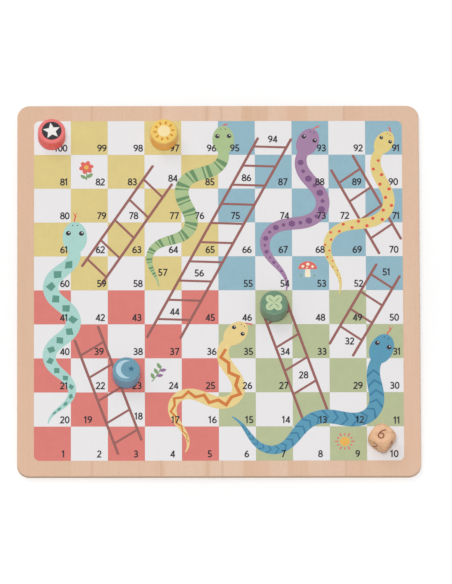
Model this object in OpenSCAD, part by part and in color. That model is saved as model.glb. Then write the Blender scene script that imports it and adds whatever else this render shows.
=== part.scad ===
// Snakes and ladders board: a three-ply wooden sheet with a printed field of a
// hundred squares, four low turned pawns and one ball-cornered wooden die.
// The origin is on the table, under the middle of the board. +X runs to the
// right of the reader, +Y away from the reader, +Z up.

/* [Board] */
// Side of the square board
board_w = 350; // [300:1:420]
// Radius of the board's corners, seen from above
board_corner_r = 11; // [6:0.5:14]
// Thickness of the face veneer, which carries the print
face_ply_t = 0.8; // [0.6:0.1:1.5]
// Thickness of the crossed core veneer
core_ply_t = 2.4; // [1.5:0.1:5]
// Thickness of the back veneer, which lies on the table
back_ply_t = 0.8; // [0.6:0.1:1.5]
// Width of the arris that is sanded off the upper and lower edges
arris = 0.35; // [0.2:0.05:0.5]

/* [Print] */
// Bare wooden margin around the printed field
margin = 14.5; // [10:0.5:20]
// Radius of the printed field's corners
field_corner_r = 5; // [2:0.5:8]
// Thickness of one printed film
film_t = 0.1; // [0.05:0.01:0.2]
// Bare hairline that each square leaves along its own edges
hairline = 0.02; // [0.01:0.01:0.05]

/* [Ladders] */
// Width of a ladder's rails
rail_w = 2.3; // [1.4:0.1:3]
// Width of a ladder's rungs
rung_w = 2; // [1.2:0.1:2.6]

/* [Snakes] */
// Width of a middling snake's body at its thickest
snake_w = 12; // [9:0.5:13]
// Width of the blunt end of a snake's tail
tail_tip_w = 1; // [0.6:0.1:2]
// Length of a middling snake's oval head
head_l = 27; // [20:0.5:28]
// Width of a middling snake's oval head
head_w = 19; // [15:0.5:20]

/* [Pawns] */
// Diameter of a pawn
pawn_d = 23.8; // [18:0.1:26]
// Height of a pawn
pawn_h = 16; // [10:0.5:20]
// Radius of the soft rim around a pawn's top
pawn_top_r = 2; // [1:0.1:3]
// Radius of the smaller rim around a pawn's foot
pawn_foot_r = 1.4; // [0.5:0.1:2]

/* [Die] */
// Side of the die between two flats
die_side = 19; // [16:0.5:20]
// Diameter of the ball that cuts the die's corners round
die_ball_d = 24.8; // [23:0.1:27]
// Turn of the die on the board, in degrees
die_turn = 53; // [0:1:89]

/* [Hidden] */
$fn = 64;

// Squares along one side of the field, and along one side of a colour quarter
cells = 10;
half = cells / 2;
field_w = board_w - 2 * margin;
cell = field_w / cells;

// Heights of the layers above the table
core_z = back_ply_t;
face_z = core_z + core_ply_t;
squares_z = face_z + face_ply_t;
overprint_z = squares_z + film_t;
playing_z = overprint_z + film_t;

// Ladders, in squares from the field's lower left corner: upper and lower end
// of the left rail, step across to the right rail, places of the rungs as
// shares of the rail, and the share by which a rung's right end lies lower
ladder_list = [
    [[1.11, 3.51], [2.27, 0.21], [0.63, 0.41], [0.13, 0.328, 0.535, 0.733, 0.912], 0],
    [[3.22, 8.66], [1.31, 5.72], [0.52, -0.54], [0.13, 0.333, 0.538, 0.74, 0.93], 0],
    [[6.08, 9.48], [3.07, 3.63], [0.90, -0.03], [for (i = [0 : 9]) 0.04 + 0.0967 * i], 0],
    [[8.08, 8.53], [9.36, 6.09], [0.59, 0.43], [0.153, 0.377, 0.6, 0.823], 0],
    [[9.28, 5.75], [8.01, 3.43], [0.63, -0.35], [0.12, 0.34, 0.56, 0.78], 0.03],
    [[6.18, 4.39], [7.31, 1.08], [0.62, 0.41], [0.12, 0.327, 0.533, 0.74], 0]
];

// Snakes wind like rivers: from the neck the spine sets off in one direction,
// drifts round steadily and swings from side to side.
// [neck in squares, direction, drift, swing, waves, phase, length in squares, stoutness]
mint_winding = [[1.10, 6.14], -91, 0, 50, 2.5, 180, 6.2, 1.12];
green_winding = [[5.15, 9.07], -114, 0, 50, 2, 150, 5.3, 1];
purple_winding = [[7.30, 9.03], -112, 0, 62, 1.5, 0, 5.4, 1];
yellow_winding = [[9.37, 9.08], -118, 0, 55, 1.5, 0, 5.4, 0.85];
blue_winding = [[9.26, 2.90], -112, -93, 44, 2, 0, 6.2, 1.08];
orange_winding = [[5.24, 3.46], -130, 0, 75, 1.5, 0, 5.2, 0.95];

// Steps along a snake's spine and around its head
spine_steps = 64;
head_steps = 28;
// Shares of a snake's length where its neck ends and where its tail begins
neck_end = 0.12;
tail_start = 0.45;
// Width of the neck as a share of the body, and how fast the tail thins
neck_share = 0.78;
tail_power = 1.5;
// Angle on the head's oval, from its back end, at which it is as wide as the neck
neck_angle = asin(neck_share * snake_w / head_w);

// Places of the pawns and the die, in squares from the field's lower left corner
red_place = [0.48, 9.50];
yellow_place = [3.53, 9.49];
green_place = [6.50, 4.42];
blue_place = [2.50, 2.47];
die_place = [9.40, 0.54];

// Direction of a snake's spine at a share u of its length
function spine_angle(s, u) = s[1] + s[2] * u + s[3] * sin(360 * s[4] * u + s[5]);

// Unit vector along a direction
function heading(a) = [cos(a), sin(a)];

// Points of a snake's spine from its head to its tail
function spine(s) =
    let (step = s[6] * cell / spine_steps)
    [for (i = 0, p = s[0] * cell;
        i <= spine_steps;
        p = p + step * heading(spine_angle(s, i / spine_steps)), i = i + 1) p];

// Half the width of a snake's body at a share u of its length
function body_half_w(s, u) =
    let (neck = neck_share + (1 - neck_share) * min(1, u / neck_end))
    let (tail = pow(max(0, u - tail_start) / (1 - tail_start), tail_power))
    (neck * snake_w * s[7] * (1 - tail) + tail_tip_w * tail) / 2;

// One long edge of a snake's body: side 1 is its right, side -1 its left
function body_edge(s, side) =
    let (p = spine(s))
    [for (i = [1 : spine_steps])
        let (u = i / spine_steps)
        p[i] + side * body_half_w(s, u) * heading(spine_angle(s, u) + 90)];

// Oval head of a snake, from the left of its neck round its nose to the right
function head_edge(s) =
    let (back = spine_angle(s, 0))
    let (half_l = head_l * s[7] / 2, half_w = head_w * s[7] / 2)
    let (middle = s[0] * cell - half_l * cos(neck_angle) * heading(back))
    [for (i = [0 : head_steps])
        let (a = (180 - neck_angle) * (1 - 2 * i / head_steps))
        middle - half_l * cos(a) * heading(back) - half_w * sin(a) * heading(back + 90)];

// A list in reverse order
function reversed(list) = [for (i = [len(list) - 1 : -1 : 0]) list[i]];

// Square outline with round corners, about the origin
module rounded_square(side, r) {
    square([side - 2 * r, side], center = true);
    square([side, side - 2 * r], center = true);
    for (x = [-1, 1], y = [-1, 1])
        translate([x, y] * (side / 2 - r))
            circle(r);
}

// Cross-section of an outer veneer from its middle to one sanded edge
module veneer_profile(reach, t) {
    polygon([[0, 0], [reach, 0], [reach, t - arris], [reach - arris, t], [0, t]]);
}

// Outer veneer on z = 0, with its sanded edge upwards
module veneer(t) {
    straight = board_w - 2 * board_corner_r;
    for (turn = [0 : 90 : 270])
        rotate([90, 0, turn])
            linear_extrude(straight, center = true)
                veneer_profile(board_w / 2, t);
    for (x = [-1, 1], y = [-1, 1])
        translate([x * straight / 2, y * straight / 2, 0])
            rotate_extrude()
                veneer_profile(board_corner_r, t);
}

// Printed film at a height, drawn from the field's lower left corner
module film(z) {
    translate([-field_w / 2, -field_w / 2, z])
        linear_extrude(film_t)
            children();
}

// Every second square of a block of the field, trimmed to its round corners
module checks(columns, rows, parity) {
    intersection() {
        translate([field_w, field_w] / 2)
            rounded_square(field_w, field_corner_r);
        for (c = columns, r = rows)
            if ((c + r) % 2 == parity)
                translate([c, r] * cell + [hairline, hairline])
                    square(cell - 2 * hairline);
    }
}

// Half disc that rounds off the end of a stroke along +X
module round_end(w) {
    intersection() {
        circle(d = w);
        translate([0, -w])
            square([w, 2 * w]);
    }
}

// Straight stroke from one point to another, with flat or round ends
module stroke(from, to, w, round_ends = false) {
    run = to - from;
    l = norm(run);
    translate(from)
        rotate(atan2(run.y, run.x)) {
            translate([0, -w / 2])
                square([l, w]);
            if (round_ends) {
                translate([l, 0])
                    round_end(w);
                mirror([1, 0])
                    round_end(w);
            }
        }
}

// One ladder: two rails and its rungs
module ladder(l) {
    head = l[0] * cell;
    foot = l[1] * cell;
    across = l[2] * cell;
    stroke(head, foot, rail_w, round_ends = true);
    stroke(head + across, foot + across, rail_w, round_ends = true);
    for (share = l[3])
        stroke(head + share * (foot - head), head + across + (share + l[4]) * (foot - head), rung_w);
}

// Outline of one snake: oval head and tapering body
module snake(s) {
    polygon(concat(reversed(body_edge(s, -1)), head_edge(s), body_edge(s, 1)));
}

// All the snakes, which the ladders leave free where they cross
module all_snakes() {
    for (s = [mint_winding, green_winding, purple_winding, yellow_winding, blue_winding, orange_winding])
        snake(s);
}

// Low turned pawn with soft rims, standing on z = 0
module pawn() {
    rotate_extrude()
        union() {
            square([pawn_d / 2 - pawn_top_r, pawn_h]);
            square([pawn_d / 2 - pawn_foot_r, pawn_h - pawn_top_r]);
            translate([0, pawn_foot_r])
                square([pawn_d / 2, pawn_h - pawn_top_r - pawn_foot_r]);
            translate([pawn_d / 2 - pawn_top_r, pawn_h - pawn_top_r])
                circle(pawn_top_r);
            translate([pawn_d / 2 - pawn_foot_r, pawn_foot_r])
                circle(pawn_foot_r);
        }
}

// Places a piece on the printed field
module on_field(place) {
    at = place * cell - [field_w, field_w] / 2;
    translate([at.x, at.y, playing_z])
        children();
}

module back_ply() {
    color("#d8b496")
        translate([0, 0, back_ply_t])
            mirror([0, 0, 1])
                veneer(back_ply_t);
}

module core_ply() {
    color("#c4a184")
        translate([0, 0, core_z])
            linear_extrude(core_ply_t)
                rounded_square(board_w, board_corner_r);
}

module face_ply() {
    color("#dfbda2")
        translate([0, 0, face_z])
            veneer(face_ply_t);
}

module white_squares() {
    color("#e9e7e8")
        film(squares_z)
            checks([0 : cells - 1], [0 : cells - 1], 1);
}

module yellow_squares() {
    color("#decd87")
        film(squares_z)
            checks([0 : half - 1], [half : cells - 1], 0);
}

module blue_squares() {
    color("#97b8c9")
        film(squares_z)
            checks([half : cells - 1], [half : cells - 1], 0);
}

module red_squares() {
    color("#da8078")
        film(squares_z)
            checks([0 : half - 1], [0 : half - 1], 0);
}

module green_squares() {
    color("#b4c194")
        film(squares_z)
            checks([half : cells - 1], [0 : half - 1], 0);
}

module ladders() {
    color("#965f5a")
        film(overprint_z)
            difference() {
                for (l = ladder_list)
                    ladder(l);
                all_snakes();
            }
}

module mint_snake() {
    color("#a9d3cb")
        film(overprint_z)
            snake(mint_winding);
}

module green_snake() {
    color("#a9c08c")
        film(overprint_z)
            snake(green_winding);
}

module purple_snake() {
    color("#a37fa3")
        film(overprint_z)
            snake(purple_winding);
}

module yellow_snake() {
    color("#e2cd82")
        film(overprint_z)
            snake(yellow_winding);
}

module blue_snake() {
    color("#5797b3")
        film(overprint_z)
            snake(blue_winding);
}

module orange_snake() {
    color("#e8cf8d")
        film(overprint_z)
            snake(orange_winding);
}

module red_pawn() {
    color("#e06a66")
        on_field(red_place)
            pawn();
}

module yellow_pawn() {
    color("#ebbc54")
        on_field(yellow_place)
            pawn();
}

module green_pawn() {
    color("#6b9074")
        on_field(green_place)
            pawn();
}

module blue_pawn() {
    color("#699baf")
        on_field(blue_place)
            pawn();
}

module die() {
    color("#dca878")
        on_field(die_place)
            rotate(die_turn)
                translate([0, 0, die_side / 2])
                    intersection() {
                        cube(die_side, center = true);
                        sphere(d = die_ball_d);
                    }
}

back_ply();
core_ply();
face_ply();
white_squares();
yellow_squares();
blue_squares();
red_squares();
green_squares();
ladders();
mint_snake();
green_snake();
purple_snake();
yellow_snake();
blue_snake();
orange_snake();
red_pawn();
yellow_pawn();
green_pawn();
blue_pawn();
die();
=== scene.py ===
import math
import bpy
import bmesh
from mathutils import Matrix, Vector


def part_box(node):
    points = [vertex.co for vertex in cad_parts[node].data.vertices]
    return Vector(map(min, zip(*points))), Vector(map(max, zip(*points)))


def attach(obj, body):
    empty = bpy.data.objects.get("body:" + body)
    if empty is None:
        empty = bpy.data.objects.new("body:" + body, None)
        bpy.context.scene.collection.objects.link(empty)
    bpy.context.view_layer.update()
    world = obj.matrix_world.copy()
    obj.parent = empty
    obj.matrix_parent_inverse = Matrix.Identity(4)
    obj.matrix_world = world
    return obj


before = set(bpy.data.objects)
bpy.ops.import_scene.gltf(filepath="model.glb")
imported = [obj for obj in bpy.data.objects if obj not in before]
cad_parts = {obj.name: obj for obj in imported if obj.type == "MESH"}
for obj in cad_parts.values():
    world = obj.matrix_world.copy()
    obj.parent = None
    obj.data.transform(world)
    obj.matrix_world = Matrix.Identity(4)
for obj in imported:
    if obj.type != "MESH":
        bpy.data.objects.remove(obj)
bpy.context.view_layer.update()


def topOf(nodeName):  # height of a node's top above the table, in millimetres
    return round(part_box(nodeName)[1][2] * 1000, 3)


def middleOf(nodeName):  # middle of a node seen from above, in millimetres
    low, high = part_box(nodeName)
    return [round((low[axis] + high[axis]) / 2 * 1000, 3) for axis in (0, 1)]


# Small helpers for nodes and colours

def tint(red, green, blue):  # screen colour from 0 to 255, as the linear colour that shaders take
    def one(value):
        value = value / 255
        return value / 12.92 if value <= 0.04045 else ((value + 0.055) / 1.055) ** 2.4
    return (one(red), one(green), one(blue), 1.0)


def addNode(tree, kind, inputs=None, **settings):
    made = tree.nodes.new("ShaderNode" + kind)
    for name, value in settings.items():
        setattr(made, name, value)
    for name, value in (inputs or {}).items():
        if isinstance(value, bpy.types.NodeSocket):
            tree.links.new(value, made.inputs[name])
        else:
            made.inputs[name].default_value = value
    return made


def maths(tree, operation, first, second=0.0, third=0.0):
    return addNode(tree, "Math", {0: first, 1: second, 2: third}, operation=operation).outputs[0]


def ramp(tree, value, low, high, toLow=0.0, toHigh=1.0):  # straight ramp, held at its ends
    inputs = {"Value": value, "From Min": low, "From Max": high, "To Min": toLow, "To Max": toHigh}
    return addNode(tree, "MapRange", inputs).outputs[0]


def mixColour(tree, share, first, second):
    return addNode(tree, "Mix", {0: share, 6: first, 7: second}, data_type="RGBA").outputs[2]


def millimetres(tree):  # the piece's own coordinates, so that a pattern travels with its piece
    place = addNode(tree, "TexCoord").outputs["Object"]
    return addNode(tree, "VectorMath", {0: place, 1: (1000, 1000, 1000)}, operation="MULTIPLY").outputs[0]


def drawnNoise(tree, vector, stretch, detail):  # noise drawn out by its own scale on each axis
    drawn = addNode(tree, "VectorMath", {0: vector, 1: stretch}, operation="MULTIPLY").outputs[0]
    inputs = {"Vector": drawn, "Scale": 1.0, "Detail": detail, "Roughness": 0.6}
    return addNode(tree, "TexNoise", inputs).outputs[0]


def noises(tree, vector, figure, *names):  # one for each named pair of scale and detail
    return [drawnNoise(tree, vector, *figure[name]) for name in names]


def aboutZero(tree, noise, amount):  # noise as a swing to both sides of zero
    return maths(tree, "MULTIPLY", maths(tree, "SUBTRACT", noise, 0.5), amount)


def newGroup(name, inputs, outputs):
    group = bpy.data.node_groups.new(name, "ShaderNodeTree")
    for label, kind, value in inputs:
        socket = group.interface.new_socket(label, in_out="INPUT", socket_type="NodeSocket" + kind)
        socket.default_value = value
    for label, kind in outputs:
        group.interface.new_socket(label, in_out="OUTPUT", socket_type="NodeSocket" + kind)
    return group, group.nodes.new("NodeGroupInput"), group.nodes.new("NodeGroupOutput")


surfaceOutputs = [("Color", "Color"), ("Roughness", "Float"), ("Height", "Float")]


# Wood grain, running along Y of the vector that it is given in millimetres

# each noise has its scale per millimetre on each axis, and its detail
woodFigure = {"bands": ((0.034, 0.0012, 0.034), 2.0), "streaks": ((0.36, 0.008, 0.36), 4.0),
              "fibres": ((2.4, 0.07, 2.4), 2.0), "flecks": ((1.4, 0.34, 1.4), 1.0),
              "patches": ((0.03, 0.012, 0.03), 1.0),
              "patchRange": (0.46, 0.62), "veinRange": (0.006, 0.03), "fleckRange": (0.6, 0.72),
              "fibreTone": 0.7, "fleckDepth": 0.6, "dullness": (0.2, 0.46)}


def buildWoodGrain():
    group, given, made = newGroup("woodGrain", [
        ("Vector", "Vector", (0, 0, 0)), ("Pale", "Color", tint(229, 197, 170)),
        ("Deep", "Color", tint(213, 175, 144)), ("Blush", "Color", tint(226, 183, 160)),
        ("Fleck", "Color", tint(190, 148, 118)), ("Bands", "Float", 1.0), ("Streaks", "Float", 1.0),
        ("Flecks", "Float", 0.4), ("Veins", "Float", 0.3), ("Patches", "Float", 0.7), ("Tone", "Float", 0.5),
        ("Lines", "Float", 0.0)], surfaceOutputs)
    vector = given.outputs["Vector"]
    bands, streaks, fibres = noises(group, vector, woodFigure, "bands", "streaks", "fibres")
    flecks, patches = noises(group, vector, woodFigure, "flecks", "patches")
    broad = aboutZero(group, bands, given.outputs["Bands"])
    narrow = aboutZero(group, streaks, given.outputs["Streaks"])
    fine = maths(group, "ADD", aboutZero(group, fibres, woodFigure["fibreTone"]), given.outputs["Tone"])
    shade = maths(group, "ADD", maths(group, "ADD", broad, narrow), fine)
    colour = mixColour(group, ramp(group, shade, 0.0, 1.0), given.outputs["Pale"], given.outputs["Deep"])
    patches = ramp(group, patches, *woodFigure["patchRange"])
    blush = maths(group, "MULTIPLY", patches, given.outputs["Patches"])
    colour = mixColour(group, blush, colour, given.outputs["Blush"])
    turning = maths(group, "ABSOLUTE", aboutZero(group, bands, 1.0))  # a thin line where a band turns
    veins = ramp(group, turning, *woodFigure["veinRange"], 1.0, 0.0)
    veins = maths(group, "MULTIPLY", veins, given.outputs["Veins"])
    dashes = ramp(group, flecks, *woodFigure["fleckRange"])
    dashes = maths(group, "MULTIPLY", dashes, given.outputs["Flecks"])
    darker = maths(group, "MAXIMUM", maths(group, "MAXIMUM", dashes, veins), given.outputs["Lines"])
    hollows = maths(group, "MULTIPLY", dashes, woodFigure["fleckDepth"])
    height = maths(group, "SUBTRACT", fibres, hollows)
    roughness = maths(group, "MULTIPLY_ADD", fibres, *woodFigure["dullness"])
    group.links.new(mixColour(group, darker, colour, given.outputs["Fleck"]), made.inputs["Color"])
    group.links.new(roughness, made.inputs["Roughness"])
    group.links.new(height, made.inputs["Height"])
    return group


# Printing ink: soft clouds where the film is thicker, and a little of the grain below

inkFigure = {"clouds": ((0.13, 0.13, 0.13), 3.0), "specks": ((1.1, 1.1, 1.1), 2.0),
             "grain": ((1.7, 0.045, 1.7), 2.0),
             "speckTone": 0.6, "grainRise": 0.6, "speckRise": 0.4, "dullness": (0.24, 0.48)}


def buildPrintedInk():
    group, given, made = newGroup("printedInk", [
        ("Ink", "Color", (1, 1, 1, 1)), ("Cloud", "Float", 0.1), ("Grain", "Float", 0.05)], surfaceOutputs)
    vector = millimetres(group)
    clouds, specks, grain = noises(group, vector, inkFigure, "clouds", "specks", "grain")
    soft = maths(group, "ADD", aboutZero(group, clouds, 1.0),
                 aboutZero(group, specks, inkFigure["speckTone"]))
    level = maths(group, "MULTIPLY_ADD", soft, given.outputs["Cloud"], 1.0)
    level = maths(group, "ADD", level, aboutZero(group, grain, given.outputs["Grain"]))
    inked = addNode(group, "VectorMath", {0: given.outputs["Ink"], "Scale": level}, operation="SCALE")
    rise = maths(group, "MULTIPLY", specks, inkFigure["speckRise"])
    height = maths(group, "MULTIPLY_ADD", grain, inkFigure["grainRise"], rise)
    roughness = maths(group, "MULTIPLY_ADD", specks, *inkFigure["dullness"])
    group.links.new(inked.outputs[0], made.inputs["Color"])
    group.links.new(roughness, made.inputs["Roughness"])
    group.links.new(height, made.inputs["Height"])
    return group


# Paint on a turned pawn: faint lathe rings, clouds, a rim that hands have rubbed paler, and painted light and
# shade on the sides

paintFigure = {"clouds": ((0.22, 0.22, 0.22), 3.0), "specks": ((1.6, 1.6, 1.6), 2.0), "rings": 9.0,
               # millimetres from the axis, and up from the foot
               "rimAcross": (10.0, 11.2), "rimUp": (13.8, 15.2), "sideShadingUp": (13.4, 15.4),
               "wornRange": (0.38, 0.62), "cloudTone": (0.16, 0.92), "speckTone": 0.08, "ringRise": 0.12,
               "dullness": (0.2, 0.38)}


def buildTurnedPaint():
    group, given, made = newGroup("turnedPaint", [
        ("Paint", "Color", (1, 1, 1, 1)), ("Side", "Color", (1, 1, 1, 1)), ("Rubbed", "Color", (1, 1, 1, 1)),
        ("Foot", "Vector", (0, 0, 0)), ("Wear", "Float", 0.5)], surfaceOutputs)
    vector = millimetres(group)
    offset = addNode(group, "VectorMath", {0: vector, 1: given.outputs["Foot"]}, operation="SUBTRACT")
    parts = addNode(group, "SeparateXYZ", {0: offset.outputs[0]})
    height = parts.outputs["Z"]
    squared = [maths(group, "POWER", parts.outputs[axis], 2.0) for axis in ("X", "Y")]
    radius = maths(group, "SQRT", maths(group, "ADD", *squared))
    rim = maths(group, "MULTIPLY", ramp(group, radius, *paintFigure["rimAcross"]),
                ramp(group, height, *paintFigure["rimUp"]))
    clouds, specks = noises(group, vector, paintFigure, "clouds", "specks")
    worn = maths(group, "MULTIPLY", rim, ramp(group, specks, *paintFigure["wornRange"]))
    rubbed = maths(group, "MULTIPLY", worn, given.outputs["Wear"])
    level = maths(group, "MULTIPLY_ADD", clouds, *paintFigure["cloudTone"])
    level = maths(group, "ADD", level, aboutZero(group, specks, paintFigure["speckTone"]))
    # painted shading: below this height the sides take a colour of their own, standing in for how light falls
    # on them, and above it the top's paint
    above = ramp(group, height, *paintFigure["sideShadingUp"])
    paintAndShadedSide = mixColour(group, above, given.outputs["Side"], given.outputs["Paint"])
    painted = addNode(group, "VectorMath", {0: paintAndShadedSide, "Scale": level}, operation="SCALE").outputs[0]
    group.links.new(mixColour(group, rubbed, painted, given.outputs["Rubbed"]), made.inputs["Color"])
    roughness = maths(group, "MULTIPLY_ADD", specks, *paintFigure["dullness"])
    group.links.new(roughness, made.inputs["Roughness"])
    reach = maths(group, "ADD", radius, height)
    rings = maths(group, "SINE", maths(group, "MULTIPLY", reach, paintFigure["rings"]))
    relief = maths(group, "MULTIPLY_ADD", rings, paintFigure["ringRise"], specks)
    group.links.new(relief, made.inputs["Height"])
    return group


woodGrain = buildWoodGrain()
printedInk = buildPrintedInk()
turnedPaint = buildTurnedPaint()


# Materials around those groups

bumpReach = 0.0001  # metres


def groupMaterial(name, group, inputs, bump, specular):
    material = bpy.data.materials.new(name)
    material.use_nodes = True
    tree = material.node_tree
    shader = tree.nodes["Principled BSDF"]
    shader.inputs["Specular IOR Level"].default_value = specular
    effect = tree.nodes.new("ShaderNodeGroup")
    effect.node_tree = group
    for label, value in inputs.items():
        effect.inputs[label].default_value = value
    tree.links.new(effect.outputs["Color"], shader.inputs["Base Color"])
    tree.links.new(effect.outputs["Roughness"], shader.inputs["Roughness"])
    rise = {"Strength": bump, "Distance": bumpReach, "Height": effect.outputs["Height"]}
    tree.links.new(addNode(tree, "Bump", rise).outputs[0], shader.inputs["Normal"])
    return material, effect


def calmBounce(material, effect, kept):  # light that bounces off the piece keeps only a share of its colour
    tree = material.node_tree
    share = ramp(tree, addNode(tree, "LightPath").outputs["Is Diffuse Ray"], 0.0, 1.0, 1.0, kept)
    calm = addNode(tree, "HueSaturation", {"Saturation": share, "Color": effect.outputs["Color"]})
    tree.links.new(calm.outputs[0], tree.nodes["Principled BSDF"].inputs["Base Color"])


def layStrips(tree, effect, strips):  # strips of veneer side by side along X, and a few dark lines
    vector = millimetres(tree)
    wander = drawnNoise(tree, vector, *strips["wanderFigure"])
    along = addNode(tree, "SeparateXYZ", {0: vector}).outputs["X"]
    along = maths(tree, "ADD", along, aboutZero(tree, wander, strips["wander"]))
    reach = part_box("face_ply")[1][0] * 1000
    shades = addNode(tree, "ValToRGB", {"Fac": ramp(tree, along, -reach, reach)})
    stops = shades.color_ramp.elements
    stops.remove(stops[1])
    before = strips["tones"][strips["first"]]
    stops[0].color = (before, before, before, 1)
    for edge, toneName in strips["edges"].items():
        tone = strips["tones"][toneName]
        for place, level in ((edge - strips["soft"], before), (edge + strips["soft"], tone)):
            stops.new((place + reach) / (2 * reach)).color = (level, level, level, 1)
        before = tone
    tree.links.new(shades.outputs[0], effect.inputs["Tone"])
    lines = 0.0
    for place in strips["lines"]:
        gap = maths(tree, "ABSOLUTE", maths(tree, "SUBTRACT", along, place))
        line = ramp(tree, gap, strips["lineHeart"], strips["lineReach"], strips["lineDepth"], 0.0)
        lines = maths(tree, "MAXIMUM", lines, line)
    tree.links.new(lines, effect.inputs["Lines"])


woodInputs = ("Pale", "Deep", "Blush", "Fleck", "Bands", "Streaks", "Flecks", "Veins", "Patches")


def woodMaterial(name, look):  # turn says how the grain lies, in degrees about each axis
    inputs = {label: look[label] for label in woodInputs}
    material, effect = groupMaterial(name, woodGrain, inputs, look["bump"], look["specular"])
    tree = material.node_tree
    turn = [math.radians(angle) for angle in look["turn"]]
    laying = {"Vector": millimetres(tree), "Rotation": turn, "Location": look["shift"]}
    tree.links.new(addNode(tree, "Mapping", laying).outputs[0], effect.inputs["Vector"])
    if "strips" in look:
        layStrips(tree, effect, look["strips"])
    return material


inkCoat = {"bump": 0.05, "specular": 0.3}


def inkMaterial(name, colour, cloud, grain=0.05):
    inputs = {"Ink": tint(*colour), "Cloud": cloud, "Grain": grain}
    return groupMaterial(name, printedInk, inputs, inkCoat["bump"], inkCoat["specular"])[0]


def dress(nodeName, material):
    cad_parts[nodeName].material_slots[0].material = material


# Plies of the board

veneerStrips = {"tones": {"pale": 0.0, "middle": 0.38, "deep": 0.63, "brown": 0.85}, "first": "deep",
                "edges": {-128: "middle", -56: "deep", -47: "pale", -14: "middle", -7: "pale", 21: "brown",
                          30: "deep", 44: "pale", 60: "deep", 78: "pale", 110: "deep", 126: "middle"},
                "soft": 1.2, "wander": 2.0, "wanderFigure": ((0.02, 0.006, 0.02), 1.0),
                "lines": (-110, -50, -10, 3, 110), "lineHeart": 0.2, "lineReach": 1.6, "lineDepth": 0.4}
woodLook = {"Pale": tint(225, 193, 168), "Deep": tint(216, 177, 146), "Blush": tint(225, 184, 160),
            "Fleck": tint(196, 155, 127), "Bands": 1.1, "Streaks": 1.4, "Flecks": 0.3, "Veins": 0.2,
            "Patches": 0.7, "turn": (0, 0, 0), "shift": (120, 400, 0), "bump": 0.1, "specular": 0.35}
faceVeneer = dict(woodLook, strips=veneerStrips, Bands=0.2, Streaks=0.7, Veins=0.0, Patches=0.4)
coreVeneer = dict(woodLook, Pale=tint(201, 177, 150), Deep=tint(175, 145, 117), Blush=tint(190, 161, 136),
                  turn=(0, 0, 90), shift=(40, 0, 7))
# the back veneer is darker than the face veneer: painted shade on the lower part of the board's edge, by the
# table
backVeneer = dict(woodLook, Pale=tint(216, 184, 157), Deep=tint(197, 159, 129), Blush=tint(210, 170, 145),
                  shift=(90, 300, 50), specular=0.25)
dress("face_ply", woodMaterial("faceVeneer", faceVeneer))
dress("core_ply", woodMaterial("coreVeneer", coreVeneer))
dress("back_ply", woodMaterial("backVeneer", backVeneer))
print("plies dressed")


# Printed squares, ladders and snakes

squareInks = {"white_squares": (233, 231, 232), "yellow_squares": (220, 201, 134),
              "blue_squares": (144, 181, 195), "red_squares": (218, 123, 115),
              "green_squares": (181, 189, 148), "ladders": (150, 95, 90)}
snakeInks = {"mint_snake": (169, 211, 203), "green_snake": (169, 192, 140), "purple_snake": (163, 127, 163),
             "yellow_snake": (226, 205, 130), "blue_snake": (87, 151, 179), "orange_snake": (232, 207, 141)}
inkClouds = {"white": 0.025, "coloured": 0.13, "snake": 0.16, "mark": 0.2, "eye": 0.1, "glint": 0.05,
             "tongue": 0.1, "picture": 0.14}  # how strong the clouds are in each film
snakeGrain = 0.06
for nodeName, colour in squareInks.items():
    clouds = inkClouds["white" if nodeName == "white_squares" else "coloured"]
    dress(nodeName, inkMaterial(nodeName + "Ink", colour, clouds))
for nodeName, colour in snakeInks.items():
    dress(nodeName, inkMaterial(nodeName + "Ink", colour, inkClouds["snake"], snakeGrain))
print("inks dressed:", len(squareInks) + len(snakeInks))


# Flat print, in millimetres: strips along a line, and plates within an outline

def oval(cx, cy, rx, ry, start=0.0, end=360.0, steps=24, turn=0.0):
    points = []
    last = steps if end - start == 360 else steps + 1
    for i in range(last):
        angle = math.radians(start + (end - start) * i / steps)
        x, y = rx * math.cos(angle), ry * math.sin(angle)
        c, s = math.cos(math.radians(turn)), math.sin(math.radians(turn))
        points.append((cx + x * c - y * s, cy + x * s + y * c))
    return points


mitreLimit = 0.4


def strokeEdges(points, widths, closed=False):  # both edges of a stroke, with mitred corners
    left, right = [], []
    count = len(points)
    for i, (x, y) in enumerate(points):
        before = points[(i - 1) % count] if closed or i > 0 else None
        after = points[(i + 1) % count] if closed or i < count - 1 else None
        normals = []
        for first, second in ((before, (x, y)), ((x, y), after)):
            if first is not None and second is not None:
                run = Vector((second[0] - first[0], second[1] - first[1])).normalized()
                normals.append(Vector((-run.y, run.x)))
        side = sum(normals, Vector((0, 0))).normalized()
        reach = widths[i] / 2 / max(mitreLimit, side.dot(normals[0]))
        left.append((x + side.x * reach, y + side.y * reach))
        right.append((x - side.x * reach, y - side.y * reach))
    return left, right


def addStrip(mesh, edges, low, high, closed=False, slot=0):  # closed solid between two edges
    left, right = edges
    rows = [[mesh.verts.new((x, y, z)) for x, y in edge]
            for edge, z in ((left, high), (right, high), (right, low), (left, low))]
    count = len(left)
    faces = []
    for i in range(count if closed else count - 1):
        j = (i + 1) % count
        for a in range(4):
            b = (a + 1) % 4
            faces.append(mesh.faces.new((rows[a][i], rows[b][i], rows[b][j], rows[a][j])))
    if not closed:
        faces.append(mesh.faces.new([row[0] for row in reversed(rows)]))
        faces.append(mesh.faces.new([row[-1] for row in rows]))
    for face in faces:
        face.material_index = slot


def addStroke(mesh, points, width, low, high, closed=False, slot=0):
    addStrip(mesh, strokeEdges(points, [width] * len(points), closed), low, high, closed, slot)


def addPlate(mesh, outline, low, high, slot=0):
    top = [mesh.verts.new((x, y, high)) for x, y in outline]
    bottom = [mesh.verts.new((x, y, low)) for x, y in outline]
    count = len(outline)
    faces = [mesh.faces.new(top), mesh.faces.new(bottom[::-1])]
    for i in range(count):
        j = (i + 1) % count
        faces.append(mesh.faces.new((top[i], bottom[i], bottom[j], top[j])))
    for face in faces:
        face.material_index = slot


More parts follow.
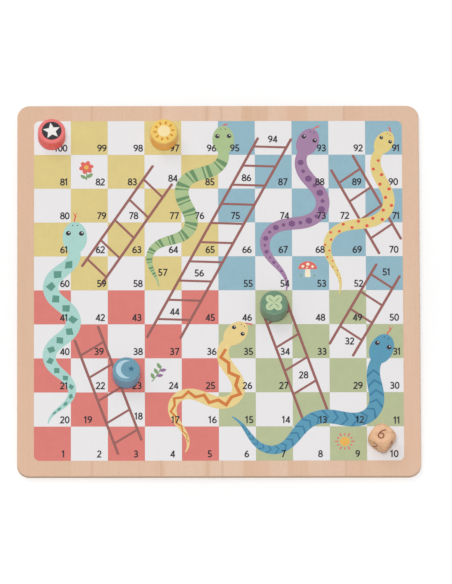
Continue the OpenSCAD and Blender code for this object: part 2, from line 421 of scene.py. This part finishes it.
def makePiece(name, mesh, finishes, body):
    bmesh.ops.recalc_face_normals(mesh, faces=mesh.faces)
    mesh.transform(Matrix.Scale(0.001, 4))
    data = bpy.data.meshes.new(name)
    mesh.to_mesh(data)
    mesh.free()
    for finish in finishes:
        data.materials.append(finish)
    piece = bpy.data.objects.new(name, data)
    bpy.context.scene.collection.objects.link(piece)
    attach(piece, body)


squaresAcross = 10
squareGap = 0.02  # each printed square stands this far inside its cell
fieldHalf = round(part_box("white_squares")[1][0] * 1000 + squareGap, 3)
field = {"cell": fieldHalf * 2 / squaresAcross, "corner": -fieldHalf, "sunk": 0.01, "proud": 0.015,
         "lap": 0.004,  # lifts one print clear of the print that it crosses
         "squaresTop": topOf("white_squares"), "overprintTop": topOf("ladders")}


def onField(column, row):
    return field["corner"] + column * field["cell"], field["corner"] + row * field["cell"]


def printLevels(layer):  # foot and top of what is printed on a layer
    return field[layer] - field["sunk"], field[layer] + field["proud"]


# Plain numerals, each a few strokes in a box one unit high

def numeralStrokes(digit):  # list of (points, closed)
    if digit == 0:
        return [(oval(0.31, 0.5, 0.245, 0.44), True)]
    if digit == 1:
        return [([(-0.015, 0.77), (0.215, 0.93), (0.215, 0.0)], False)]
    if digit == 2:
        return [(oval(0.29, 0.705, 0.215, 0.233, 165, -28, 12) + [(0.075, 0.0625), (0.57, 0.0625)], False)]
    if digit == 3:
        return [(oval(0.27, 0.725, 0.205, 0.2125, 150, -90, 12) + [(0.16, 0.5125)], False),
                ([(0.16, 0.505)] + oval(0.265, 0.284, 0.245, 0.2215, 90, -152, 12), False)]
    if digit == 4:
        return [([(0.44, 0.0), (0.44, 0.98)], False), ([(0.43, 0.95), (0.07, 0.27), (0.61, 0.27)], False)]
    if digit == 5:
        flag = [(0.53, 0.9375), (0.16, 0.9375), (0.13, 0.53)]
        return [(flag + oval(0.275, 0.3, 0.245, 0.2375, 108, -150, 12), False)]
    if digit == 6:
        return [(oval(0.32, 0.295, 0.235, 0.2325), True),
                (oval(0.6, 0.295, 0.515, 0.645, 180, 104, 8), False)]
    if digit == 7:
        return [([(0.04, 0.9375), (0.54, 0.9375), (0.2, 0.0)], False)]
    if digit == 8:
        return [(oval(0.31, 0.735, 0.2, 0.2025), True), (oval(0.31, 0.284, 0.245, 0.2215), True)]
    return [(oval(0.3, 0.705, 0.235, 0.2325), True), (oval(0.02, 0.705, 0.515, 0.645, 0, -76, 8), False)]


def addNumber(mesh, text, x, y, look, low, high, align=1.0):  # x is the end of the ink, or its middle at 0.5
    scale = look["height"]
    start = 0.0
    strokes = []
    for letter in text:
        for points, closed in numeralStrokes(int(letter)):
            strokes.append(([((start + px) * look["squeeze"], py) for px, py in points], closed))
        start += look["advance"] if letter != "1" else look["oneAdvance"]
    across = [px for points, closed in strokes for px, py in points]
    anchor = min(across) + (max(across) - min(across)) * align + look["weight"] * (align - 0.5)
    for i, (points, closed) in enumerate(strokes):
        placed = [(x + (px - anchor) * scale, y + py * scale) for px, py in points]
        addStroke(mesh, placed, look["weight"] * scale, low, high + field["lap"] / 2 * (i % 4), closed)


numbers = {"height": 6.5, "squeeze": 0.975, "advance": 0.657, "oneAdvance": 0.467, "weight": 0.167,
           "colour": (32, 29, 37), "cloud": 0.2, "baseline": 0.097, "topRowShift": 0.012, "onesShift": -0.018,
           # share of a square at which the ink ends, and what each column takes off it
           "ends": {"first": (0.825, 0.002), "leftward": (0.965, 0.0055), "rightward": (0.925, 0.004)},
           # millimetres that the last digit adds
           "bearings": {1: -0.25, 2: 0.45, 3: -0.15, 4: 0.3, 5: -0.15, 7: -0.45, 8: -0.15},
           # these stay below the pieces that stand on them
           "underPieces": (100, 97, 47, 23), "underDepth": 0.02}
# numbers with places of their own, most of them to clear a ladder: end of the ink, and baseline in the row
aside = {100: (0.907, 0.1), 95: (5.583, 0.1), 94: (6.63, 0.362), 83: (2.793, 0.1), 84: (3.914, 0.204),
         86: (5.9, 0.217), 78: (2.833, 0.1), 76: (4.623, 0.1), 75: (5.593, 0.1), 72: (8.567, 0.1),
         57: (3.617, 0.427), 56: (4.61, 0.405), 51: (9.64, 0.433), 44: (3.957, 0.268), 47: (6.7, 0.47),
         39: (1.89, 0.1), 32: (8.683, 0.4), 28: (7.427, 0.407), 19: (1.573, 0.1), 18: (2.943, 0.202),
         10: (9.85, 0.097), 11: (9.877, 0.078)}


def numberPlace(number, row, column):  # end and baseline of the ink, in squares
    if number in aside:
        return aside[number]
    way = "first" if row == 0 else "leftward" if row % 2 else "rightward"
    share, taken = numbers["ends"][way]
    end = column + share - taken * column + numbers["bearings"].get(number % 10, 0) / field["cell"]
    if way == "rightward" and number % 10 == 1:
        end += numbers["onesShift"]
    if row == squaresAcross - 1:
        end += numbers["topRowShift"]
    return end, numbers["baseline"]


def printNumbers():
    mesh = bmesh.new()
    low = printLevels("squaresTop")[0]
    for row in range(squaresAcross):
        for column in range(squaresAcross):
            number = row * squaresAcross + (squaresAcross - column if row % 2 else column + 1)
            end, base = numberPlace(number, row, column)
            x, y = onField(end, row + base)
            high = printLevels("overprintTop")[1]
            if number in numbers["underPieces"]:
                high = field["overprintTop"] - numbers["underDepth"]
            addNumber(mesh, str(number), x, y, numbers, low, high)
    finish = inkMaterial("numberInk", numbers["colour"], numbers["cloud"])
    makePiece("numbers", mesh, [finish], "board")


printNumbers()
print("numbers printed")


# Snakes: marks along the back, eyes, nostrils and tongue, on the windings of the solids

snakeForm = {"width": 12.0, "tip": 1.0, "headLength": 27.0, "headWidth": 19.0, "neckEnd": 0.12,
             "tailStart": 0.45, "neckShare": 0.78, "tailPower": 1.5, "steps": 64}
plainWinding = {"drift": 0, "phase": 0, "stoutness": 1.0}
windings = {  # neck and length in squares, angles in degrees
    "mint_snake": dict(plainWinding, neck=(1.10, 6.14), direction=-91, swing=50, waves=2.5, phase=180,
                       length=6.2, stoutness=1.12),
    "green_snake": dict(plainWinding, neck=(5.15, 9.07), direction=-114, swing=50, waves=2, phase=150,
                        length=5.3),
    "purple_snake": dict(plainWinding, neck=(7.30, 9.03), direction=-112, swing=62, waves=1.5, length=5.4),
    "yellow_snake": dict(plainWinding, neck=(9.37, 9.08), direction=-118, swing=55, waves=1.5, length=5.4,
                         stoutness=0.85),
    "blue_snake": dict(plainWinding, neck=(9.26, 2.90), direction=-112, drift=-93, swing=44, waves=2,
                       length=6.2, stoutness=1.08),
    "orange_snake": dict(plainWinding, neck=(5.24, 3.46), direction=-130, swing=75, waves=1.5, length=5.2,
                         stoutness=0.95)}


def spineAngle(winding, share):
    wave = math.sin(math.radians(360 * winding["waves"] * share + winding["phase"]))
    return math.radians(winding["direction"] + winding["drift"] * share + winding["swing"] * wave)


def halfWidth(winding, share):
    neck = snakeForm["neckShare"] + (1 - snakeForm["neckShare"]) * min(1, share / snakeForm["neckEnd"])
    tail = (max(0, share - snakeForm["tailStart"]) / (1 - snakeForm["tailStart"])) ** snakeForm["tailPower"]
    return (neck * snakeForm["width"] * winding["stoutness"] * (1 - tail) + snakeForm["tip"] * tail) / 2


def spineStations(winding):  # centre and half-width vector at each step
    stations = []
    place = Vector(onField(*winding["neck"]))
    step = winding["length"] * field["cell"] / snakeForm["steps"]
    for i in range(snakeForm["steps"] + 1):
        share = i / snakeForm["steps"]
        angle = spineAngle(winding, share)
        across = Vector((-math.sin(angle), math.cos(angle))) * halfWidth(winding, share)
        stations.append((place.copy(), across))
        place += step * Vector((math.cos(angle), math.sin(angle)))
    return stations


def onSnake(stations, share, side):  # side runs from -1 to 1 across the body
    spot = min(share, 0.9999) * snakeForm["steps"]
    i = int(spot)
    first, second = stations[i], stations[i + 1]
    centre = first[0].lerp(second[0], spot - i)
    across = first[1].lerp(second[1], spot - i)
    point = centre + across * side
    return point.x, point.y


def addRing(mesh, stations, start, end, low, high, side=0.985):
    shares = [start + (end - start) * i / 3 for i in range(4)]
    left = [onSnake(stations, share, side) for share in shares]
    right = [onSnake(stations, share, -side) for share in shares]
    addStrip(mesh, (left, right), low, high)


def addDot(mesh, x, y, radius, low, high, steps=24, slot=0):
    addPlate(mesh, oval(x, y, radius, radius, steps=steps), low, high, slot)


def spread(count, start, end, gather=1.25):  # places that draw closer together towards the tail
    return [start + (end - start) * (1 - (1 - i / (count - 1)) ** gather) for i in range(count)]


def markSnake(mesh, winding, stations, look, low, high):
    kind = look["kind"]
    places = spread(look["count"], look["start"], look["end"])
    for i, share in enumerate(places):
        half = look["size"] * (1 - look["taper"] * share)
        even = i % 2 == 0
        if kind == "diamonds":
            corners = ((share - half, 0), (share, look["reach"]), (share + half, 0), (share, -look["reach"]))
            addPlate(mesh, [onSnake(stations, *corner) for corner in corners], low, high)
        elif kind == "rings":
            for start, end in look["bands"]:
                addRing(mesh, stations, share + half * start, share + half * end, low, high)
        elif kind == "chevrons":
            outer = [(share + half, look["reach"]), (share - half, 0.0), (share + half, -look["reach"])]
            edges = [[onSnake(stations, along + shift, side) for along, side in outer]
                     for shift in (0, half * look["thick"])]
            addStrip(mesh, edges, low, high)
        elif kind == "dots":
            x, y = onSnake(stations, share, 0.0)
            radius = halfWidth(winding, share) * look["reach"] * (1 if even else look["small"])
            addDot(mesh, x, y, radius, low, high, 20)
        elif kind == "pairs":
            x, y = onSnake(stations, share, look["aside"] * (1 if even else -1))
            addDot(mesh, x, y, halfWidth(winding, share) * look["reach"], low, high, 18)
    if kind == "zigzag":
        line = [onSnake(stations, share, look["reach"] * (-1) ** i) for i, share in enumerate(places)]
        widths = [halfWidth(winding, share) * look["stroke"] for share in places]
        addStrip(mesh, strokeEdges(line, widths), low, high)


# start, end and size are shares of the length, and the rest are shares of the half-width or of the size
markLook = {"start": 0.05, "end": 0.93, "size": 0.02, "taper": 0.5}
snakeMarks = {
    "mint_snake": dict(markLook, name="mint_diamonds", kind="diamonds", colour=(92, 148, 132), count=17,
                       start=0.07, end=0.94, size=0.026, reach=0.66),
    "green_snake": dict(markLook, name="green_rings", kind="rings", colour=(104, 142, 100), count=14,
                        start=0.07, size=0.024, bands=((-1, -0.1), (0.45, 0.85))),
    "purple_snake": dict(markLook, name="purple_dots", kind="dots", colour=(120, 80, 126), count=23,
                         reach=0.5, small=0.6),
    "yellow_snake": dict(markLook, name="red_dots", kind="pairs", colour=(220, 88, 74), count=26,
                         reach=0.3, aside=0.52),
    "blue_snake": dict(markLook, name="blue_chevrons", kind="chevrons", colour=(58, 122, 156), count=24,
                       size=0.014, reach=0.97, thick=0.9),
    "orange_snake": dict(markLook, name="orange_zigzag", kind="zigzag", colour=(208, 122, 58), count=25,
                         start=0.04, end=0.94, stroke=0.52, reach=0.42)}
# eyes and nostrils lie ahead of the middle of the head and to each side, and a glint lies off its eye
snakeFace = {"eye": (3.7, 5.1), "eyeRadius": 1.95, "eyeColour": (44, 38, 48),
             "glint": (0.55, 0.65), "glintRadius": 0.55, "glintLift": 0.01, "glintColour": (240, 236, 232),
             "nostril": (10.4, 1.8), "nostrilRadius": 0.5}
snakeTongue = {"length": 6.4, "width": 1.15, "swing": 28.6, "steps": 8, "inHead": 0.3,
               "forkLength": 3.0, "forkSpread": 0.55, "forkRoot": 0.4, "forkWidth": 0.9775, "forkTip": 0.35,
               "colour": (222, 92, 86),
               # a tongue that turns aside has no swing, and some are shorter, to stay clear of print
               "turns": {"green_snake": (-40, -80), "yellow_snake": (12, 62), "purple_snake": (-20, -50),
                         "orange_snake": (-45, -75)},
               "shares": {"yellow_snake": 0.6, "green_snake": 0.5, "purple_snake": 0.7, "orange_snake": 0.75}}


def heading(angle):  # level direction at an angle in radians from X
    return Vector((math.cos(angle), math.sin(angle)))


def printFace(mesh, middle, ahead, stout):
    low, high = printLevels("overprintTop")
    across = Vector((-ahead.y, ahead.x))

    def addSpot(part, hand, steps):
        forward, sideways = snakeFace[part]
        spot = middle + (ahead * forward + across * hand * sideways) * stout
        addDot(mesh, spot.x, spot.y, snakeFace[part + "Radius"] * stout, low, high, steps)
        return spot

    for hand in (-1, 1):
        glint = addSpot("eye", hand, 24) + Vector(snakeFace["glint"]) * stout
        glintTop = high + snakeFace["glintLift"]
        addDot(mesh, glint.x, glint.y, snakeFace["glintRadius"] * stout, low, glintTop, 14, 1)
        addSpot("nostril", hand, 12)


def printTongue(mesh, nodeName, nose, angle):
    low, high = printLevels("squaresTop")
    share = snakeTongue["shares"].get(nodeName, 1.0)
    start, end = snakeTongue["turns"].get(nodeName, (0, 0))
    swing = 0 if end else snakeTongue["swing"]
    steps = snakeTongue["steps"]
    line = []
    point = nose.copy()
    for i in range(steps + 1):
        line.append((point.x, point.y))
        turn = start + (end - start) * i / steps + swing * math.cos(math.pi * 2 * i / steps)
        point += heading(angle + math.radians(turn)) * snakeTongue["length"] * share / steps
    addStroke(mesh, line, snakeTongue["width"], low, high)
    fork = Vector(line[-1])
    ahead = heading(angle + math.radians(end))
    across = Vector((-ahead.y, ahead.x))
    for hand in (-1, 1):
        tip = fork + (ahead + across * hand * snakeTongue["forkSpread"]) * snakeTongue["forkLength"] * share
        root = fork - ahead * snakeTongue["forkRoot"]
        edges = strokeEdges([tuple(root), tuple(tip)], [snakeTongue["forkWidth"], snakeTongue["forkTip"]])
        addStrip(mesh, edges, low, high + field["lap"] / 2 * (1 + hand))


def printSnakes():
    eyes, tongues = bmesh.new(), bmesh.new()
    neckAngle = math.asin(snakeForm["neckShare"] * snakeForm["width"] / snakeForm["headWidth"])
    for nodeName, winding in windings.items():
        look = snakeMarks[nodeName]
        stations = spineStations(winding)
        marks = bmesh.new()
        markSnake(marks, winding, stations, look, *printLevels("overprintTop"))
        finish = inkMaterial(look["name"] + "Ink", look["colour"], inkClouds["mark"], snakeGrain)
        makePiece(look["name"], marks, [finish], "board")
        angle = spineAngle(winding, 0) + math.pi
        ahead = heading(angle)
        stout = winding["stoutness"]
        halfHead = snakeForm["headLength"] * stout / 2
        middle = stations[0][0] + ahead * halfHead * math.cos(neckAngle)
        printFace(eyes, middle, ahead, stout)
        printTongue(tongues, nodeName, middle + ahead * (halfHead - snakeTongue["inHead"]), angle)
    eyeFinishes = [inkMaterial("eyeInk", snakeFace["eyeColour"], inkClouds["eye"]),
                   inkMaterial("glintInk", snakeFace["glintColour"], inkClouds["glint"])]
    makePiece("snake_eyes", eyes, eyeFinishes, "board")
    tongueFinish = inkMaterial("tongueInk", snakeTongue["colour"], inkClouds["tongue"])
    makePiece("snake_tongues", tongues, [tongueFinish], "board")


printSnakes()
print("snakes marked:", len(windings))


# Small pictures in a few free squares, each drawn in millimetres about its place

pictureInks = {"coral": (221, 104, 92), "cream": (244, 232, 206), "gold": (232, 178, 84),
               "leaf": (126, 158, 112), "plum": (150, 112, 150)}


def petal(cx, cy, length, width, turn, steps=16):  # pointed leaf from its root outwards
    points = []
    for i in range(steps):
        share = i / steps
        along = length * (1 - abs(1 - 2 * share))
        side = width / 2 * math.sin(math.pi * along / length) ** 0.8 * (1 if share < 0.5 else -1)
        c, s = math.cos(math.radians(turn)), math.sin(math.radians(turn))
        points.append((cx + along * c - side * s, cy + along * s + side * c))
    return points


def around(x, y, points):
    return [(x + px, y + py) for px, py in points]


def ray(x, y, angle, inner, outer):  # line away from a middle, angle in degrees
    c, s = math.cos(math.radians(angle)), math.sin(math.radians(angle))
    return [(x + inner * c, y + inner * s), (x + outer * c, y + outer * s)]


flower = {"place": (1.42, 8.55), "stem": [(0, -9.5), (0.5, -5), (0, 0)], "stemWidth": 1.1,
          "leaves": [(0.3, -7.5, 7.0, 3.4, 38), (0.2, -8.2, 6.4, 3.2, 148)],  # root, length, width, turn
          "heart": (0, 2.5), "heartRadius": 2.0, "petals": 6, "petalOut": 3.5, "petalSize": (2.9, 2.1),
          "petalTurn": 12}


def drawFlower(mesh, x, y, low, high):
    lap = field["lap"]
    addStroke(mesh, around(x, y, flower["stem"]), flower["stemWidth"], low, high, slot=1)
    for i, (px, py, length, width, turn) in enumerate(flower["leaves"]):
        addPlate(mesh, petal(x + px, y + py, length, width, turn), low, high + lap * (i + 1), 1)
    hx, hy = x + flower["heart"][0], y + flower["heart"][1]
    for i in range(flower["petals"]):
        turn = 360 / flower["petals"] * i + flower["petalTurn"]
        cx, cy = ray(hx, hy, turn, 0, flower["petalOut"])[1]
        outline = oval(cx, cy, *flower["petalSize"], steps=20, turn=turn)
        addPlate(mesh, outline, low, high + lap * (3 + i % 3), 0)
    addDot(mesh, hx, hy, flower["heartRadius"], low, high + lap * 7.5, 20, 2)


toadstool = {"place": (7.42, 5.62), "cap": (8.2, 7.4), "grassWidth": 0.9,
             "stem": [(-2.0, 0.5), (-2.6, -6.5), (-1.6, -7.6), (1.6, -7.6), (2.6, -6.5), (2.0, 0.5)],
             "spots": [(-4.2, 2.6, 1.25), (0.2, 4.6, 1.5), (4.3, 2.4, 1.2), (-0.6, 1.4, 0.8)],
             "grass": [[(-6.4, -7.4), (-5.4, -4.6)], [(5.2, -7.4), (6.4, -5.0)]]}


def drawToadstool(mesh, x, y, low, high):
    lap = field["lap"]
    addPlate(mesh, around(x, y, toadstool["stem"]), low, high, 1)
    addPlate(mesh, oval(x, y, *toadstool["cap"], 0, 180, 24), low, high + lap * 1.5, 0)
    for px, py, radius in toadstool["spots"]:
        addDot(mesh, x + px, y + py, radius, low, high + lap * 3, 16, 1)
    for blade in toadstool["grass"]:
        addStroke(mesh, around(x, y, blade), toadstool["grassWidth"], low, high, slot=2)


sprig = {"place": (3.36, 2.55), "stem": [(-5.5, -7.5), (-2.0, -3.0), (1.0, 2.0), (3.0, 7.0)],
         "leaves": [(-3.6, -5.0, 112), (-1.6, -2.2, 8), (-0.4, -0.4, 118), (1.2, 2.6, 12), (2.0, 4.6, 116)],
         "stemWidth": 0.9, "leafSize": (6.2, 3.2)}  # each leaf has its root and turn


def drawSprig(mesh, x, y, low, high):
    addStroke(mesh, around(x, y, sprig["stem"]), sprig["stemWidth"], low, high)
    for i, (px, py, turn) in enumerate(sprig["leaves"]):
        outline = petal(x + px, y + py, *sprig["leafSize"], turn)
        addPlate(mesh, outline, low, high + field["lap"] * (i + 1), i % 2)


def addRays(mesh, x, y, look, low, high):
    for i in range(look["rays"]):
        angle = 360 / look["rays"] * i + look["rayTurn"]
        line = ray(x, y, angle, look["rayInner"], look["rayOuters"][i % 2])
        addStroke(mesh, line, look["rayWidth"], low, high, slot=1)


sun = {"place": (8.4, 0.56), "disc": 4.4, "rays": 12, "rayTurn": 0, "rayInner": 5.6, "rayOuters": (8.6, 7.6),
       "rayWidth": 1.1}


def drawSun(mesh, x, y, low, high):
    addRays(mesh, x, y, sun, low, high)
    addDot(mesh, x, y, sun["disc"], low, high, 28)


def printPicture(name, draw, look, inks):
    mesh = bmesh.new()
    draw(mesh, *onField(*look["place"]), *printLevels("squaresTop"))
    makePiece(name, mesh, [pictureFinishes[ink] for ink in inks], "board")


pictureFinishes = {name: inkMaterial(name + "Print", colour, inkClouds["picture"])
                   for name, colour in pictureInks.items()}
printPicture("printed_flower", drawFlower, flower, ("coral", "leaf", "gold"))
printPicture("printed_toadstool", drawToadstool, toadstool, ("coral", "cream", "leaf"))
printPicture("printed_sprig", drawSprig, sprig, ("leaf", "plum"))
printPicture("printed_sun", drawSun, sun, ("gold", "coral"))
print("small pictures printed")


# Pawns: paint, and a mark on each top

pawnForm = {"wear": 0.5, "bounce": 0.3, "bump": 0.06, "specular": 0.4, "markDepth": 0.02}
# side is painted light and shade: each pawn's sides get a colour of their own for how light falls on them
pawnLooks = {
    "red_pawn": dict(paint=(235, 114, 113), side=(246, 94, 92), rubbed=(238, 144, 136)),
    "yellow_pawn": dict(paint=(238, 198, 95), side=(252, 181, 84), rubbed=(243, 208, 132)),
    "green_pawn": dict(paint=(99, 135, 108), side=(119, 146, 120), rubbed=(140, 174, 146)),
    "blue_pawn": dict(paint=(99, 148, 168), side=(118, 165, 193), rubbed=(144, 184, 200))}
for nodeName, look in pawnLooks.items():
    foot = (*middleOf(nodeName), field["overprintTop"])
    inputs = {"Paint": tint(*look["paint"]), "Side": tint(*look["side"]), "Rubbed": tint(*look["rubbed"]),
              "Foot": foot, "Wear": pawnForm["wear"]}
    material, effect = groupMaterial(nodeName + "Paint", turnedPaint, inputs,
                                     pawnForm["bump"], pawnForm["specular"])
    calmBounce(material, effect, pawnForm["bounce"])
    dress(nodeName, material)


def starOutline(cx, cy, outer, inner, points, turn):
    return [ray(cx, cy, turn + 180 * i / points, 0, inner if i % 2 else outer)[1] for i in range(points * 2)]


# a star is its outer and inner reach, its points and its turn
starMark = {"disc": 8.6, "star": (7.8, 3.5, 5, 98),
            "inks": [("starDark", (42, 40, 46), 0.1), ("starWhite", (240, 236, 234), 0.05)]}


def drawStarMark(mesh, x, y, low, high):
    addDot(mesh, x, y, starMark["disc"], low, high, 48)
    addPlate(mesh, starOutline(x, y, *starMark["star"]), low, high + field["lap"] * 5, 1)


sunMark = {"disc": 5.3, "rays": 10, "rayTurn": 6, "rayInner": 6.4, "rayOuters": (9.2, 9.2), "rayWidth": 1.5,
           "inks": [("sunCream", (248, 226, 170), 0.08), ("sunOrange", (206, 132, 52), 0.1)]}


def drawSunMark(mesh, x, y, low, high):
    addDot(mesh, x, y, sunMark["disc"], low, high, 36)
    addRays(mesh, x, y, sunMark, low, high)


cloverMark = {"stem": [(0.4, -9.0), (0.9, -4.6), (0, 0)], "stemWidth": 1.0, "leaves": 4, "leafOut": 4.6,
              "leafSize": (4.2, 3.6), "veinInner": 1.7, "veinOuter": 6.4, "veinWidth": 0.6,
              "inks": [("cloverPale", (190, 208, 166), 0.1), ("cloverVein", (88, 130, 104), 0.1)]}


def drawCloverMark(mesh, x, y, low, high):
    lap = field["lap"]
    addStroke(mesh, around(x, y, cloverMark["stem"]), cloverMark["stemWidth"], low, high, slot=1)
    for i in range(cloverMark["leaves"]):
        angle = 360 / cloverMark["leaves"] * (i + 0.5)
        cx, cy = ray(x, y, angle, 0, cloverMark["leafOut"])[1]
        leaf = oval(cx, cy, *cloverMark["leafSize"], steps=28, turn=angle)
        addPlate(mesh, leaf, low, high + lap * (1.5 + i % 2), 0)
        vein = ray(x, y, angle, cloverMark["veinInner"], cloverMark["veinOuter"])
        addStroke(mesh, vein, cloverMark["veinWidth"], low, high + lap * 3.5, slot=1)


moonMark = {"radius": 8.6, "aside": -0.5, "horn": 62, "hollow": 2.9, "starAt": (4.2, 0.4),
            "star": (3.2, 1.35, 5, 90),
            "inks": [("moonPale", (176, 208, 222), 0.1), ("moonStar", (58, 104, 136), 0.1)]}


def drawMoonMark(mesh, x, y, low, high):
    horn, hollow = moonMark["horn"], x + moonMark["hollow"]
    outer = oval(x + moonMark["aside"], y, moonMark["radius"], moonMark["radius"], horn, 360 - horn, 28)
    tipX, tipY = outer[0]
    reach = math.hypot(tipX - hollow, tipY - y)
    swing = math.degrees(math.atan2(tipY - y, tipX - hollow))
    inner = oval(hollow, y, reach, reach, 360 - swing, swing, 22)[1:-1]
    addPlate(mesh, outer + inner, low, high, 0)
    starX, starY = moonMark["starAt"]
    addPlate(mesh, starOutline(x + starX, y + starY, *moonMark["star"]), low, high, 1)


def markPawn(nodeName, name, draw, inks):
    mesh = bmesh.new()
    top, depth = topOf(nodeName), pawnForm["markDepth"]
    draw(mesh, *middleOf(nodeName), top - depth, top + depth)
    makePiece(name, mesh, [inkMaterial(*ink) for ink in inks], nodeName)


markPawn("red_pawn", "star_mark", drawStarMark, starMark["inks"])
markPawn("yellow_pawn", "sun_mark", drawSunMark, sunMark["inks"])
markPawn("green_pawn", "clover_mark", drawCloverMark, cloverMark["inks"])
markPawn("blue_pawn", "moon_mark", drawMoonMark, moonMark["inks"])
print("pawns painted and marked:", len(pawnLooks))


# Die: bare wood with burnt numerals

dieForm = {"turn": 53.0, "burnt": (146, 88, 66), "cloud": 0.3, "depth": 0.02,
           "top": (6, 65.0), "bottom": (1, 20.0),  # numeral, and the way that its head points
           "sides": {3: -90, 2: -180, 5: 0, 4: 90},  # numeral, and the way that its flat faces
           "numeral": {"height": 10.2, "squeeze": 0.98, "advance": 0.66, "oneAdvance": 0.47, "weight": 0.125}}
dieWood = dict(woodLook, Pale=tint(246, 207, 164), Deep=tint(228, 177, 132), Blush=tint(234, 186, 150),
               Fleck=tint(192, 140, 100), Bands=0.6, Flecks=0.35, Veins=0.3,
               turn=(70, 0, 37), shift=(12, 5, 3), bump=0.12)
dress("die", woodMaterial("dieWood", dieWood))


def burnNumerals():
    above = Vector((0, 0, 1))
    half = (topOf("die") - field["overprintTop"]) / 2  # from the middle of the die to each flat
    centre = Vector((*middleOf("die"), field["overprintTop"] + half))
    faces = [(digit, normal, heading(math.radians(angle)).to_3d())
             for (digit, angle), normal in ((dieForm["top"], above), (dieForm["bottom"], -above))]
    faces += [(digit, heading(math.radians(dieForm["turn"] + angle)).to_3d(), above)
              for digit, angle in dieForm["sides"].items()]
    mesh = bmesh.new()
    look, depth = dieForm["numeral"], dieForm["depth"]
    for digit, normal, up in faces:
        part = bmesh.new()
        addNumber(part, str(digit), 0.0, -look["height"] / 2, look, -depth, depth, 0.5)
        flat = Matrix((up.cross(normal), up, normal)).transposed().to_4x4()
        flat.translation = centre + normal * half
        part.transform(flat)
        data = bpy.data.meshes.new("numeral")
        part.to_mesh(data)
        part.free()
        mesh.from_mesh(data)
        bpy.data.meshes.remove(data)
    finish = inkMaterial("burntWood", dieForm["burnt"], dieForm["cloud"])
    makePiece("die_numerals", mesh, [finish], "die")


burnNumerals()
print("die dressed")


# Floor, light and camera, in metres

floorLook = {"reach": 9.0, "drop": 0.00005, "grey": 0.9, "lift": 0.11, "fadeStart": 0.17, "fadeEnd": 1.8}


def buildFloor():
    mesh = bmesh.new()
    bmesh.ops.create_grid(mesh, x_segments=1, y_segments=1, size=floorLook["reach"])
    data = bpy.data.meshes.new("floor")
    mesh.to_mesh(data)
    mesh.free()
    floor = bpy.data.objects.new("floor", data)
    floor.location.z = -floorLook["drop"]
    bpy.context.scene.collection.objects.link(floor)
    material = bpy.data.materials.new("paleFloor")
    material.use_nodes = True
    tree = material.node_tree
    tree.nodes.clear()
    place = addNode(tree, "TexCoord").outputs["Object"]
    away = addNode(tree, "VectorMath", {0: place}, operation="LENGTH").outputs["Value"]
    white = ramp(tree, away, floorLook["fadeStart"], floorLook["fadeEnd"], floorLook["lift"], 1.0)
    seen = maths(tree, "MULTIPLY", addNode(tree, "LightPath").outputs["Is Camera Ray"], white)
    plain = addNode(tree, "BsdfDiffuse", {"Color": [floorLook["grey"]] * 3 + [1]})
    glow = addNode(tree, "Emission", {"Strength": seen})  # far from the board the floor fades into the white
    both = addNode(tree, "AddShader", {0: plain.outputs[0], 1: glow.outputs[0]})
    addNode(tree, "OutputMaterial", {"Surface": both.outputs[0]})
    data.materials.append(material)


def buildWorld(strength):
    world = bpy.data.worlds.new("studio")
    bpy.context.scene.world = world
    world.use_nodes = True
    tree = world.node_tree
    tree.nodes.clear()
    path = addNode(tree, "LightPath")
    direct = maths(tree, "MAXIMUM", path.outputs["Is Camera Ray"],
                   maths(tree, "MAXIMUM", path.outputs["Is Glossy Ray"], path.outputs["Is Transmission Ray"]))
    soft = addNode(tree, "Background", {"Color": (1, 1, 1, 1), "Strength": strength})
    white = addNode(tree, "Background", {"Color": (1, 1, 1, 1), "Strength": 1.0})
    mixed = addNode(tree, "MixShader", {0: direct, 1: soft.outputs[0], 2: white.outputs[0]})
    addNode(tree, "OutputWorld", {"Surface": mixed.outputs[0]})


def addSoftLamp(name, place, size, power):
    lamp = bpy.data.lights.new(name, "AREA")
    lamp.shape = "DISK"
    lamp.size = size
    lamp.energy = power
    holder = bpy.data.objects.new(name, lamp)
    holder.location = place
    holder.rotation_mode = "QUATERNION"
    holder.rotation_quaternion = (-Vector(place)).to_track_quat("-Z", "Y")
    bpy.context.scene.collection.objects.link(holder)


worldStrength = 0.46
lamps = {"keyLamp": {"place": (-0.35, -0.95, 5.95), "size": 2.6, "power": 163.0},
         "backLamp": {"place": (-2.2, 3.4, 4.0), "size": 3.0, "power": 44.0}}
buildFloor()
buildWorld(worldStrength)
for name, lamp in lamps.items():
    addSoftLamp(name, **lamp)

cameraLook = {"target": (0.006549, -0.00165, 0.004), "azimuth": -0.833, "elevation": 66.979, "roll": -0.063,
              "distance": 17.0, "lens": 1204.55, "sensor": 36.0, "clip": (1.0, 60.0)}


def buildCamera():
    data = bpy.data.cameras.new("camera")
    data.lens = cameraLook["lens"]
    data.sensor_width = cameraLook["sensor"]
    data.clip_start, data.clip_end = cameraLook["clip"]
    camera = bpy.data.objects.new("camera", data)
    a, e = math.radians(cameraLook["azimuth"]), math.radians(cameraLook["elevation"])
    back = Vector((math.sin(a) * math.cos(e), -math.cos(a) * math.cos(e), math.sin(e)))
    level = (Vector((1, 0, 0)) - back.x * back).normalized()  # along the board's front edge
    roll = math.radians(cameraLook["roll"])
    right = level * math.cos(roll) + back.cross(level) * math.sin(roll)
    matrix = Matrix((right, back.cross(right), back)).transposed().to_4x4()
    matrix.translation = Vector(cameraLook["target"]) + back * cameraLook["distance"]
    camera.matrix_world = matrix
    bpy.context.scene.collection.objects.link(camera)
    bpy.context.scene.camera = camera


buildCamera()
bpy.context.scene.view_settings.view_transform = "Standard"
print("floor, light and camera set")

bpy.context.view_layer.update()
